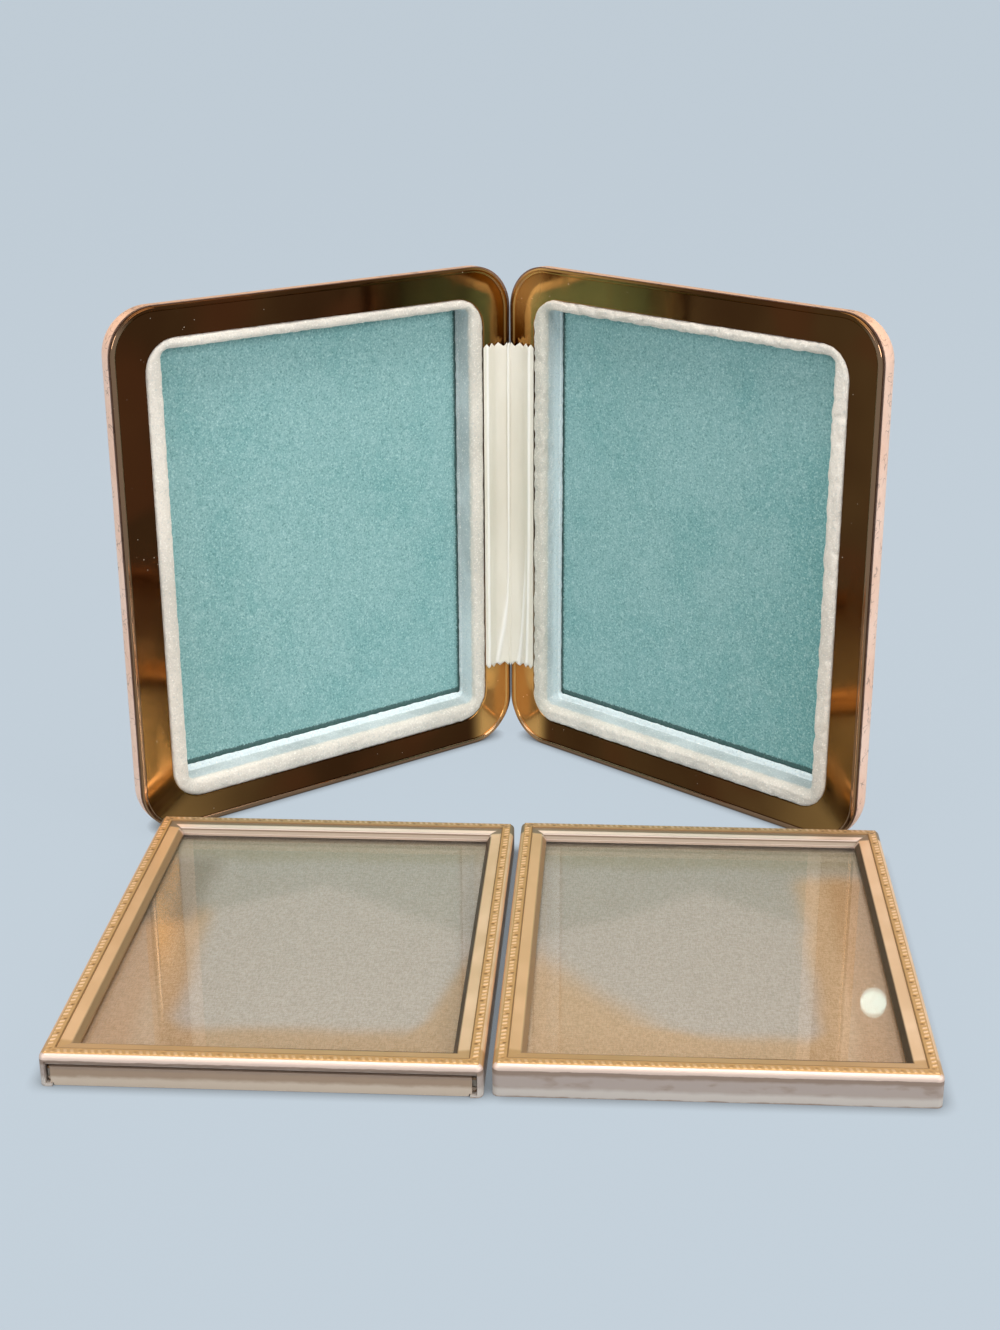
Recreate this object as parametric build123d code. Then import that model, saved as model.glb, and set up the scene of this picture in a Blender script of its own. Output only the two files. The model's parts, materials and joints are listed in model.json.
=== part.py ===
from build123d import *
import os
from math import cos, radians, sin

# A clamshell case that stands open on its edge, and the two photo frames that it carries, laid in front.
# A case half is drawn closed first: X runs from the hinge axis outward, Y from the parting plane into the
# half, Z up. It is then swung open about the hinge axis. Millimetres throughout.

# Photo frames
FRAME_WIDTH = 77.0
FRAME_LENGTH = 95.5
FRAME_CORNER = 1.2           # radius of the upright corners
FRAME_EDGE = 1.0             # radius of the top outer edge
FRAME_WALL = 1.0             # rolled side walls
FRAME_SHEET = 0.5            # inward turn at their foot
RAIL_LIP = 1.2               # width of that turn
BAND_WIDTH = 2.5             # raised ornament band
BAND_STEP = 0.15             # step inside the band
STRIP_WIDTH = 2.4            # plain strip inside it
STRIP_FALL = 0.3
BEVEL_WIDTH = 0.7            # steep slope from the strip to the glass
BEVEL_DROP = 1.0
SIGHT_EDGE = 0.5             # height of the edge that the glass lies under
END_NOTCH = 0.6              # how far the open end is cut up behind the top edge
GLASS_THICKNESS = 1.0
CARD_THICKNESS = 0.4
FILLER_THICKNESS = 1.3
BACK_SHEET = 0.8
BACK_EDGE = 0.7              # radius along the back's lower edges
BACK_TOE = 0.25              # radius at the foot of the back's end wall
BACK_RECESS = 0.4            # from the open end in to the back's end wall
END_GAP = 0.7                # from that wall to the sides of the sheets behind it
END_DROP = 0.5               # from the bezel down to its top
SLIDE_CLEARANCE = 0.2        # beside the pieces that slide between the rails
STACK_GAP = 0.05             # between the layers in a frame

# Case half, seen from the front
OPENING_ANGLE = 102.0        # between the two rims
HINGE_EDGE = 0.12            # from the hinge axis to the rim
FLANGE_HINGE = 6.78          # width of the rim's face
FLANGE_OUTER = 7.7
FLANGE_TOP = 6.9
FLANGE_BOTTOM = 6.4
LIP_HINGE = 3.5              # width of the velvet lip
LIP_OUTER = 3.9
LIP_TOP = 2.5
LIP_BOTTOM = 4.1
WELL_CLEARANCE = 0.1         # beside a frame in its well
WELL_END_CLEARANCE = 0.55    # above and below it
WELL_CORNER = 1.5
LIP_CORNER = 7.2
RIM_CORNER = 10.3

# Case half, in depth from the parting plane
CLOSING_GAP = 0.15           # from the parting plane to the rim and the lip
BEAD = 0.9                   # thickness of the rim's rolled edge
BEAD_WIDTH = 1.2
BEAD_ROUND = 0.44
FLANGE_ROUND = 0.25          # along the flange's edge at the lip
FLANGE_SINK = 0.45           # from the bead's crown down to the flange
SKIRT_SHEET = 0.5
SKIRT_DEPTH = 2.0            # the rim's wall inside the tray
SKIRT_STEP = 0.05            # from the bead's inner edge to the skirt
TRAY_SHEET = 0.6
TRAY_EDGE = 7.0              # radius along the tray's back edge
COVER_THICKNESS = 0.5
LIP_CROWN = 0.9              # radius over the lip's two edges
WALL_VELVET = 0.8
FOOT_ROLL = 0.8              # height of the roll of velvet along the foot of the wall
ROLL_BOTTOM = 1.4            # width of that roll
ROLL_SIDES = 0.3
FLOOR_VELVET = 0.8
FLOOR_BOARD = 1.4
COLLAR_CLEARANCE = 0.1

# Hinge
PIN_DIAMETER = 1.2
PIN_CLEARANCE = 0.05
BARREL_DIAMETER = 2.4
BARREL_CLEARANCE = 0.3       # from the barrel to whatever turns past it
STOP_GAP = 0.1               # between the two covers where they stop the case from opening further
HINGE_LENGTH = 76.0
KNUCKLES = 5
KNUCKLE_GAP = 0.3
LEAF_SHEET = 0.5
LEAF_WIDTH = 6.0             # from the axis to the leaf's far edge
LEAF_NECK = 2.2              # from the axis to where the knuckle meets the leaf
LEAF_CLEARANCE = 0.2

# Ribbon over the hinge
RIBBON_LENGTH = 79.8
RIBBON_THICKNESS = 0.4
RIBBON_GAP = 0.1             # above the rim, and beside the lip
RIBBON_FOLD = 0.35           # height of its long folds
PINKING_DEPTH = 0.9
PINKING_TEETH = 9

# Where the frames lie
FRAME_GAP = 1.5              # between the two frames
FRAME_SHIFT = 4.35           # of the pair, to the right of the hinge
TIP_GAP = 1.2                # from the rims' outer edges forward to the frames
FRAME_TURN = -0.53           # of each frame as it lies, in degrees

HALF_OPENING = radians(OPENING_ANGLE / 2)
FINE = 0.01                  # overshoot of a cut past the face that it opens


class Outline:
    """A rounded rectangle in a case half, seen from the front."""

    def __init__(self, left, right, bottom, top, radius):
        self.left, self.right, self.bottom, self.top, self.radius = left, right, bottom, top, radius

    def inset(self, by):
        return Outline(self.left + by, self.right - by, self.bottom + by, self.top - by, self.radius - by)

    def slab(self, front, back, back_edge=0.0):
        """The outline as a solid from one depth to another, with its back edge rounded."""
        solid = block(self.left, self.right, front, back, self.bottom, self.top)
        solid = fillet(solid.edges().filter_by(Axis.Y), self.radius)
        if back_edge:
            solid = fillet(solid.faces().sort_by(Axis.Y)[-1].edges(), back_edge)
        return solid


def block(x0, x1, y0, y1, z0, z1):
    return Pos((x0 + x1) / 2, (y0 + y1) / 2, (z0 + z1) / 2) * Box(x1 - x0, y1 - y0, z1 - z0)


def upright(diameter, bottom, top):
    """A round bar along the hinge axis."""
    return Pos(0, 0, (bottom + top) / 2) * Cylinder(diameter / 2, top - bottom)


# Heights in a frame, from the table up
BACK_FOOT = FRAME_SHEET + STACK_GAP
FILLER_FOOT = BACK_FOOT + BACK_SHEET + STACK_GAP
CARD_FOOT = FILLER_FOOT + FILLER_THICKNESS + STACK_GAP
GLASS_FOOT = CARD_FOOT + CARD_THICKNESS + STACK_GAP
LEDGE = GLASS_FOOT + GLASS_THICKNESS + STACK_GAP
FRAME_HEIGHT = LEDGE + SIGHT_EDGE + BEVEL_DROP + STRIP_FALL + BAND_STEP

# Depths in a case half, from the parting plane back
FLANGE_FRONT = CLOSING_GAP + FLANGE_SINK
RIM_BACK = CLOSING_GAP + BEAD
LEAF_BACK = RIM_BACK + LEAF_SHEET
LIP_BACK = LEAF_BACK + STACK_GAP
TRAY_FRONT = BARREL_DIAMETER / 2 + BARREL_CLEARANCE
FLOOR_FRONT = FRAME_HEIGHT + FOOT_ROLL
BOARD_FRONT = FLOOR_FRONT + FLOOR_VELVET
TRAY_FLOOR = BOARD_FRONT + FLOOR_BOARD
TRAY_BACK = TRAY_FLOOR + TRAY_SHEET
COVER_BACK = TRAY_BACK + COVER_THICKNESS

# Outlines in a case half, from the well outward
WELL_LEFT = HINGE_EDGE + FLANGE_HINGE + LIP_HINGE
WELL_BOTTOM = FLANGE_BOTTOM + LIP_BOTTOM
WELL = Outline(WELL_LEFT, WELL_LEFT + FRAME_WIDTH + 2 * WELL_CLEARANCE,
               WELL_BOTTOM, WELL_BOTTOM + FRAME_LENGTH + 2 * WELL_END_CLEARANCE, WELL_CORNER)
ROLL = Outline(WELL.left + ROLL_SIDES, WELL.right - ROLL_SIDES,
               WELL.bottom + ROLL_BOTTOM, WELL.top - ROLL_SIDES, WELL_CORNER)
OPENING = Outline(WELL.left - LIP_HINGE, WELL.right + LIP_OUTER,
                  WELL.bottom - LIP_BOTTOM, WELL.top + LIP_TOP, LIP_CORNER)
RIM = Outline(HINGE_EDGE, OPENING.right + FLANGE_OUTER,
              OPENING.bottom - FLANGE_BOTTOM, OPENING.top + FLANGE_TOP, RIM_CORNER)
SKIRT = RIM.inset(BEAD_WIDTH + SKIRT_STEP)
COVER_OVERHANG = (TRAY_FRONT * cos(HALF_OPENING) - STOP_GAP / 2) / sin(HALF_OPENING)
COVER = Outline(-COVER_OVERHANG, RIM.right, RIM.bottom, RIM.top, RIM_CORNER)
TRAY = COVER.inset(COVER_THICKNESS)

# Heights along the hinge
HINGE_MIDDLE = (WELL.bottom + WELL.top) / 2
HINGE_FOOT = HINGE_MIDDLE - HINGE_LENGTH / 2
KNUCKLE_PITCH = (HINGE_LENGTH + KNUCKLE_GAP) / KNUCKLES


def ring(outer, inner, front, back):
    return outer.slab(front, back) - inner.slab(front - FINE, back + FINE)


def cover():
    hollow = TRAY.slab(TRAY_FRONT - FINE, TRAY_BACK, TRAY_EDGE)
    return COVER.slab(TRAY_FRONT, COVER_BACK, TRAY_EDGE + COVER_THICKNESS) - hollow


def tray():
    hollow = TRAY.inset(TRAY_SHEET).slab(TRAY_FRONT - FINE, TRAY_FLOOR, TRAY_EDGE - TRAY_SHEET)
    return TRAY.slab(TRAY_FRONT, TRAY_BACK, TRAY_EDGE) - hollow


def rim():
    """Rolled bead, flat flange and the skirt inside the tray, with room for the hinge cut out."""
    body = ring(RIM, OPENING, CLOSING_GAP, RIM_BACK) - RIM.inset(BEAD_WIDTH).slab(0, FLANGE_FRONT)
    flange = body.faces().filter_by(Axis.Y).sort_by(Axis.Y)[1]
    body = fillet(flange.inner_wires()[0].edges(), FLANGE_ROUND)
    body = fillet(body.faces().sort_by(Axis.Y)[0].edges(), BEAD_ROUND)
    body = fillet(body.faces().sort_by(Axis.Y)[-1].outer_wire().edges(), BEAD_ROUND)
    skirt_back = RIM_BACK + SKIRT_DEPTH
    skirt = ring(SKIRT, SKIRT.inset(SKIRT_SHEET), FLANGE_FRONT + SKIRT_STEP, skirt_back)
    hinge_room = block(-BARREL_DIAMETER, LEAF_NECK + LEAF_CLEARANCE, -BARREL_DIAMETER, skirt_back + FINE,
                       HINGE_FOOT - KNUCKLE_GAP, HINGE_FOOT + HINGE_LENGTH + KNUCKLE_GAP)
    return body + skirt - hinge_room


def filling(front, back):
    """A layer of what fills the tray, from one depth to another."""
    inside_skirt = SKIRT.inset(SKIRT_SHEET + COLLAR_CLEARANCE)
    whole = inside_skirt.slab(LIP_BACK, TRAY_FLOOR, TRAY_EDGE - TRAY_SHEET)
    return whole & COVER.slab(front, back)


def collar_board():
    return filling(LIP_BACK, FLOOR_FRONT) - WELL.inset(-WALL_VELVET).slab(LIP_BACK - FINE, FLOOR_FRONT + FINE)


def collar_velvet():
    """Rounded lip, the wall down to the floor and the roll along its foot."""
    lip = ring(OPENING, WELL, CLOSING_GAP, LIP_BACK)
    lip = fillet(lip.faces().sort_by(Axis.Y)[0].edges(), LIP_CROWN)
    wall = ring(WELL.inset(-WALL_VELVET), WELL, LIP_BACK, FLOOR_FRONT)
    foot = ring(WELL.inset(-WALL_VELVET / 2), ROLL, FLOOR_FRONT - FOOT_ROLL, FLOOR_FRONT)
    return lip + wall + foot


def hinge_leaf(first):
    """A plate behind the rim, with every second knuckle from the given one on."""
    knuckle_back = BARREL_DIAMETER / 2
    knuckle_front = knuckle_back - LEAF_SHEET
    elbow = LEAF_NECK - LEAF_SHEET
    leaf = block(elbow, LEAF_WIDTH, RIM_BACK, LEAF_BACK, HINGE_FOOT, HINGE_FOOT + HINGE_LENGTH)
    for index in range(first, KNUCKLES, 2):
        foot = HINGE_FOOT + index * KNUCKLE_PITCH
        head = foot + KNUCKLE_PITCH - KNUCKLE_GAP
        leaf += upright(BARREL_DIAMETER, foot, head)
        leaf += block(0, LEAF_NECK, knuckle_front, knuckle_back, foot, head)
        leaf += block(elbow, LEAF_NECK, knuckle_front, LEAF_BACK, foot, head)
    bore = PIN_DIAMETER + 2 * PIN_CLEARANCE
    return leaf - upright(bore, HINGE_FOOT - FINE, HINGE_FOOT + HINGE_LENGTH + FINE)


def hinge_pin():
    return upright(PIN_DIAMETER, HINGE_FOOT, HINGE_FOOT + HINGE_LENGTH)


def opened(across, depth, side):
    """The plan position of a point of a case half once the case is open; side is 1 for right, -1 for left."""
    x = across * sin(HALF_OPENING) + depth * cos(HALF_OPENING)
    y = -across * cos(HALF_OPENING) + depth * sin(HALF_OPENING)
    return side * x, y


def ribbon_edge(offset):
    """One face of the ribbon in plan, from the left lip over the hinge to the right lip."""
    depth = FLANGE_FRONT - RIBBON_GAP - RIBBON_THICKNESS / 2 + offset
    end = OPENING.left - RIBBON_GAP
    inner = LEAF_NECK + (end - LEAF_NECK) / 3
    stations = [(end, depth), ((end + inner) / 2, depth - RIBBON_FOLD), (inner, depth)]
    ridge = -(TRAY_FRONT + RIBBON_THICKNESS / 2 - offset)
    left = [opened(across, deep, -1) for across, deep in stations]
    right = [opened(across, deep, 1) for across, deep in reversed(stations)]
    return left + [(0, ridge)] + right


def hinge_ribbon():
    """A folded band along the hinge, with its two ends pinked."""
    front, back = ribbon_edge(-RIBBON_THICKNESS / 2), ribbon_edge(RIBBON_THICKNESS / 2)
    outline = Spline(*front) + Line(front[-1], back[-1]) + Spline(*reversed(back)) + Line(back[0], front[0])
    foot = HINGE_MIDDLE - RIBBON_LENGTH / 2
    band = Pos(0, 0, foot) * extrude(make_face(outline), RIBBON_LENGTH)
    half_width = front[-1][0] + RIBBON_THICKNESS
    tooth = 2 * half_width / PINKING_TEETH
    lower = [(-half_width + tooth * step / 2, foot + (PINKING_DEPTH if step % 2 else 0))
             for step in range(2 * PINKING_TEETH + 1)]
    upper = [(x, 2 * HINGE_MIDDLE - z) for x, z in reversed(lower)]
    pinked = make_face(Plane.XZ * Polyline(*lower, *upper, close=True))
    return band & extrude(pinked, RIM.right / 2, both=True)


def inside(gap):
    """Half the width, and the two ends, of what lies between a frame's rails."""
    side = FRAME_WIDTH / 2 - FRAME_WALL - gap
    return side, -FRAME_LENGTH / 2 + BACK_RECESS, FRAME_LENGTH / 2 - FRAME_WALL - gap


def mouth(inset, height):
    """The outline of a frame's opening at a height."""
    return Pos(0, 0, height) * Rectangle(FRAME_WIDTH - 2 * inset, FRAME_LENGTH - 2 * inset)


def bezel():
    """Stamped front with a band, a strip and a bevel to the glass, rails on three sides and one open end."""
    half, end = FRAME_WIDTH / 2, FRAME_LENGTH / 2
    body = block(-half, half, -end, end, 0, FRAME_HEIGHT)
    body = fillet(body.edges().filter_by(Axis.Z), FRAME_CORNER)
    body = fillet(body.faces().sort_by(Axis.Z)[-1].edges(), FRAME_EDGE)
    side, near, far = inside(0)
    body -= block(-side, side, -end - FINE, far, FRAME_SHEET, LEDGE)
    body -= block(-side + RAIL_LIP, side - RAIL_LIP, -end - FINE, far - RAIL_LIP, -FINE, FRAME_SHEET + FINE)
    body -= block(-side, side, -end - FINE, near, LEDGE - FINE, LEDGE + END_NOTCH)
    step_z = FRAME_HEIGHT - BAND_STEP
    strip_z = step_z - STRIP_FALL
    strip = BAND_WIDTH + STRIP_WIDTH
    sight = strip + BEVEL_WIDTH
    body -= extrude(mouth(BAND_WIDTH, step_z), BAND_STEP + FINE)
    body -= loft([mouth(BAND_WIDTH, step_z), mouth(strip, strip_z)])
    body -= loft([mouth(strip, strip_z), mouth(sight, strip_z - BEVEL_DROP)])
    return body - extrude(mouth(sight, LEDGE - FINE), FRAME_HEIGHT - LEDGE)


def layer(foot, thickness):
    """A flat sheet in a frame, behind the back's end wall."""
    side, near, far = inside(SLIDE_CLEARANCE)
    return block(-side, side, near + BACK_SHEET + SLIDE_CLEARANCE, far, foot, foot + thickness)


def frame_back():
    """A plate with an end wall that closes the frame's open end, down to the table between the rails."""
    side, near, far = inside(SLIDE_CLEARANCE)
    behind = near + BACK_SHEET
    plate = block(-side, side, behind, far, BACK_FOOT, BACK_FOOT + BACK_SHEET)
    plate = fillet(plate.edges().filter_by(Axis.Y).group_by(Axis.Z)[0], BACK_EDGE)
    wall_reach = side - END_GAP
    wall = block(-wall_reach, wall_reach, near, behind, BACK_FOOT, LEDGE - END_DROP)
    toe_reach = side - RAIL_LIP
    toe = block(-toe_reach, toe_reach, near, behind, STACK_GAP, BACK_FOOT + BACK_SHEET / 2)
    return plate + wall + fillet(toe.edges().filter_by(Axis.Y).group_by(Axis.Z)[0], BACK_TOE)


HALF_PIECES = {"cover": cover(), "tray": tray(), "rim": rim(), "collar_board": collar_board(),
               "collar_velvet": collar_velvet(), "floor_board": filling(BOARD_FRONT, TRAY_FLOOR),
               "floor_velvet": filling(FLOOR_FRONT, BOARD_FRONT)}
FRAME_PIECES = {"bezel": bezel(), "glass": layer(GLASS_FOOT, GLASS_THICKNESS),
                "card": layer(CARD_FOOT, CARD_THICKNESS), "filler": layer(FILLER_FOOT, FILLER_THICKNESS),
                "back": frame_back()}


def swing_open(piece):
    return Rot(0, 0, OPENING_ANGLE / 2 - 90) * piece


nodes = {"hinge_pin": hinge_pin(), "hinge_ribbon": hinge_ribbon(),
         "right_hinge_leaf": swing_open(hinge_leaf(1)),
         "left_hinge_leaf": mirror(swing_open(hinge_leaf(0)), Plane.YZ)}
for name, piece in HALF_PIECES.items():
    nodes["right_" + name] = swing_open(piece)
    nodes["left_" + name] = mirror(swing_open(piece), Plane.YZ)

# The left frame lies with its open end to the front, the right one is turned end for end
frame_y = opened(RIM.right, CLOSING_GAP, 1)[1] - TIP_GAP - FRAME_LENGTH / 2
frame_reach = (FRAME_WIDTH + FRAME_GAP) / 2
for name, piece in FRAME_PIECES.items():
    left_place = Pos(FRAME_SHIFT - frame_reach, frame_y, 0) * Rot(0, 0, FRAME_TURN)
    right_place = Pos(FRAME_SHIFT + frame_reach, frame_y, 0) * Rot(0, 0, 180 + FRAME_TURN)
    nodes["left_frame_" + name] = left_place * piece
    nodes["right_frame_" + name] = right_place * piece

# The origin is under the middle of the whole set, on the table
boxes = [piece.bounding_box() for piece in nodes.values()]
middle_x = (min(box.min.X for box in boxes) + max(box.max.X for box in boxes)) / 2
middle_y = (min(box.min.Y for box in boxes) + max(box.max.Y for box in boxes)) / 2
to_middle = Pos(-middle_x, -middle_y, -min(box.min.Z for box in boxes))
print("hinge axis at", to_middle.position)

os.makedirs("parts", exist_ok=True)
for name, piece in nodes.items():
    export_step(to_middle * piece, "parts/" + name + ".step")
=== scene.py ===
import json
import math

import bpy
import numpy as np
from bpy.props import FloatProperty, FloatVectorProperty, IntProperty, PointerProperty
from mathutils import Matrix, Vector, noise


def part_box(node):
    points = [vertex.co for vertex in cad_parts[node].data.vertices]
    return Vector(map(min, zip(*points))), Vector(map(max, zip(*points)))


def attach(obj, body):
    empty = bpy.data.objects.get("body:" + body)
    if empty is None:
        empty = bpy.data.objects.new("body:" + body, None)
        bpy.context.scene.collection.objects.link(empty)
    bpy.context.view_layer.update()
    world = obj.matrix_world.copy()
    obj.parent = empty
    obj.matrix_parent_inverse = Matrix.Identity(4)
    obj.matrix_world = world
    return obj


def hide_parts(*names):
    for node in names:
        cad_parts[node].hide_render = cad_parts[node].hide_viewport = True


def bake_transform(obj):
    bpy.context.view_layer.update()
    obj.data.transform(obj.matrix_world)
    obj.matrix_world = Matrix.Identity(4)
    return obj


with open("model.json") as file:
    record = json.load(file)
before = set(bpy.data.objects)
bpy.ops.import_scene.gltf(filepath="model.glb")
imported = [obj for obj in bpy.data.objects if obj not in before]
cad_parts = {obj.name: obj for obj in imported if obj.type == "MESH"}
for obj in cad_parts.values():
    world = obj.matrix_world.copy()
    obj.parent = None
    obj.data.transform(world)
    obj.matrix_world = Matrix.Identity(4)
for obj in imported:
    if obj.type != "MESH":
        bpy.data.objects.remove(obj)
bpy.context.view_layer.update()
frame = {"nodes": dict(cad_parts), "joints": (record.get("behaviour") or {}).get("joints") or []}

bl_info = {
    "name": "Hinged double photo frame",
    "version": (1, 0, 0),
    "blender": (4, 5, 0),
    "location": "View3D > Sidebar > Photo Case",
    "description": "Dresses a clamshell photo case and its two frames in velvet, satin, brass and glass",
    "category": "Object",
}

MM = 0.001
SIDES = {"left": -1, "right": 1}
HINGE = next(joint for joint in frame["joints"] if joint["name"] == "case_hinge")
HINGE_AT = np.array(HINGE["pos_m"])
HALF_OPENING = math.radians(HINGE["range_deg"][1]) / 2
BACK_SLIDE = next(joint for joint in frame["joints"] if joint["name"] == "left_back_slide")
ALONG_FRAME = -np.array(BACK_SLIDE["axis"][:2])
FRAME_AXES = np.array([[ALONG_FRAME[1], -ALONG_FRAME[0]], ALONG_FRAME])


# Places in a case half and meshes

def case_axes(side):
    """Directions in a case half: away from the hinge, into the half, and up."""
    s, c = math.sin(HALF_OPENING), math.cos(HALF_OPENING)
    hand = SIDES[side]
    return np.array([[hand * s, -c, 0], [hand * c, s, 0], [0, 0, 1]])


def from_case(side, points):
    """Points of a case half, given as (across, depth, up), in the row frame."""
    return HINGE_AT + np.asarray(points) @ case_axes(side)


def both_sides(part):
    """The nodes of a part that is there once on each side."""
    return [side + "_" + part for side in SIDES]


def mesh_points(mesh, field="co"):
    """Where the points of a mesh are, or with the field normal, which way they face."""
    values = np.empty(len(mesh.vertices) * 3, np.float32)
    mesh.vertices.foreach_get(field, values)
    return values.reshape(-1, 3).astype(float)


def set_points(mesh, points):
    mesh.vertices.foreach_set("co", np.asarray(points, np.float32).ravel())
    mesh.update()


def node_points(node):
    """Where the points of a CAD node are in the row frame."""
    return mesh_points(frame["nodes"][node].data)


def case_box(side, node):
    """Lowest and highest corner of a node as (across, depth, up) in its case half."""
    points = (node_points(node) - HINGE_AT) @ case_axes(side).T
    return points.min(0), points.max(0)


def grid_faces(rows, columns, wrap_rows=False, wrap_columns=False):
    """Quads of a grid whose points run along the columns first."""
    faces = []
    for row in range(rows if wrap_rows else rows - 1):
        below = (row + 1) % rows
        for column in range(columns if wrap_columns else columns - 1):
            right = (column + 1) % columns
            faces.append((row * columns + column, row * columns + right,
                          below * columns + right, below * columns + column))
    return faces


def new_piece(name, points, faces, flip=False):
    """A smooth mesh object in the row frame."""
    mesh = bpy.data.meshes.new(name)
    if flip:
        faces = [face[::-1] for face in faces]
    mesh.from_pydata(np.asarray(points).tolist(), [], faces)
    mesh.polygons.foreach_set("use_smooth", [True] * len(mesh.polygons))
    piece = bpy.data.objects.new(name, mesh)
    bpy.context.scene.collection.objects.link(piece)
    return piece


def set_attribute(piece, name, values):
    """A number for each point of a piece, for its material to read."""
    attribute = piece.data.attributes.new(name, "FLOAT", "POINT")
    attribute.data.foreach_set("value", np.asarray(values, np.float32).ravel())


def apply_modifiers(piece):
    """The piece's mesh becomes what its modifiers make of it."""
    depsgraph = bpy.context.evaluated_depsgraph_get()
    made = bpy.data.meshes.new_from_object(piece.evaluated_get(depsgraph))
    piece.modifiers.clear()
    old, piece.data = piece.data, made
    made.name = old.name
    bpy.data.meshes.remove(old)


def subdivide(piece, levels):
    piece.modifiers.new("Subdivision", "SUBSURF").levels = levels
    apply_modifiers(piece)


def roughen(piece, height, size, seed):
    """Moves the surface in and out by soft noise, as a nap does."""
    points, normals = mesh_points(piece.data), mesh_points(piece.data, "normal")
    start = Vector((seed, 2 * seed, 3 * seed))
    lift = np.array([noise.noise(Vector(point / size) + start) for point in points])
    set_points(piece.data, points + normals * (height * lift)[:, None])


def finish_piece(piece, material, body=None, stands_for=()):
    """Gives a piece its material, the body that it rides on and the nodes that it stands for."""
    piece.data.materials.clear()
    piece.data.materials.append(material)
    if body:
        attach(piece, body)
    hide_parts(*stands_for)


def finish_nodes(material, *nodes):
    """Gives CAD nodes their material."""
    for node in nodes:
        slots = frame["nodes"][node].data.materials
        slots.clear()
        slots.append(material)


# Materials

class Socket:
    """An output of a material's nodes. Arithmetic on it adds Math nodes."""

    def __init__(self, finish, socket):
        self.finish, self.socket = finish, socket

    def math(self, operation, *values):
        return self.finish.node("ShaderNodeMath", {"operation": operation}, dict(enumerate(values)))

    def absolute(self):
        return self.math("ABSOLUTE", self)

    def span(self, low, high):
        """0 to 1 as the value goes from low to high, easing in and out."""
        sockets = {"Value": self, "From Min": low, "From Max": high}
        return self.finish.node("ShaderNodeMapRange", {"interpolation_type": "SMOOTHSTEP"}, sockets)

    def mix(self, factor, other):
        """This colour with a share of another."""
        return self.finish.mix(factor, self, other)

    def __add__(self, other):
        return self.math("ADD", self, other)

    def __sub__(self, other):
        return self.math("SUBTRACT", self, other)

    def __rsub__(self, other):
        return self.math("SUBTRACT", other, self)

    def __mul__(self, other):
        return self.math("MULTIPLY", self, other)

    __radd__ = __add__
    __rmul__ = __mul__


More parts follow.
